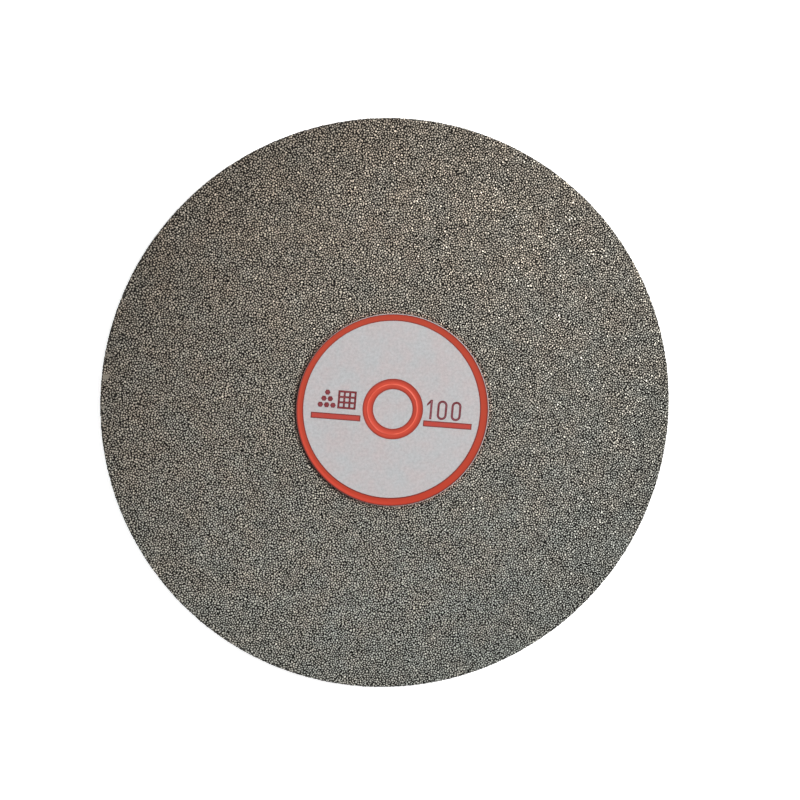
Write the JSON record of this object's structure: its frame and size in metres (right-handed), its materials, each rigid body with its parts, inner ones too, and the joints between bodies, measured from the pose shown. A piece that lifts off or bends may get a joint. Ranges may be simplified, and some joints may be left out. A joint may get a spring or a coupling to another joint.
{
  "type": "diamond grinding wheel",
  "caption": "Flat electroplated diamond grinding wheel: a thin nickel-plated steel disc with a full face of grit, an arbor hole and a round printed paper label over it.",
  "frame": {"origin": "centre of the arbor hole on the back face, so the wheel lies on Z = 0", "axes": "+Z along the spindle axis, out of the diamond face; +Y towards the top of the label's printing, +X to its right"},
  "size_m": [0.15, 0.15, 0.0013],
  "materials": {
    "steel": "satin",
    "nickel_flash": "satin",
    "nickel_bond": "satin",
    "diamond_grit": "matte",
    "label_glue": "satin",
    "label_paper": "matte",
    "orange_ink": "satin",
    "red_ink": "satin",
    "stamp_ink": "matte"
  },
  "bodies": {
    "root": {"steel_blank": "steel", "nickel_flash": "nickel_flash", "nickel_bond": "nickel_bond", "diamond_grit": "diamond_grit", "label_adhesive": "label_glue", "label_paper": "label_paper", "label_border_ring": "orange_ink", "label_arbor_ring": "orange_ink", "label_underlines": "red_ink", "label_grain_symbol": "red_ink", "label_sieve_symbol": "red_ink", "label_grit_number": "stamp_ink"}
  },
  "joints": []
}
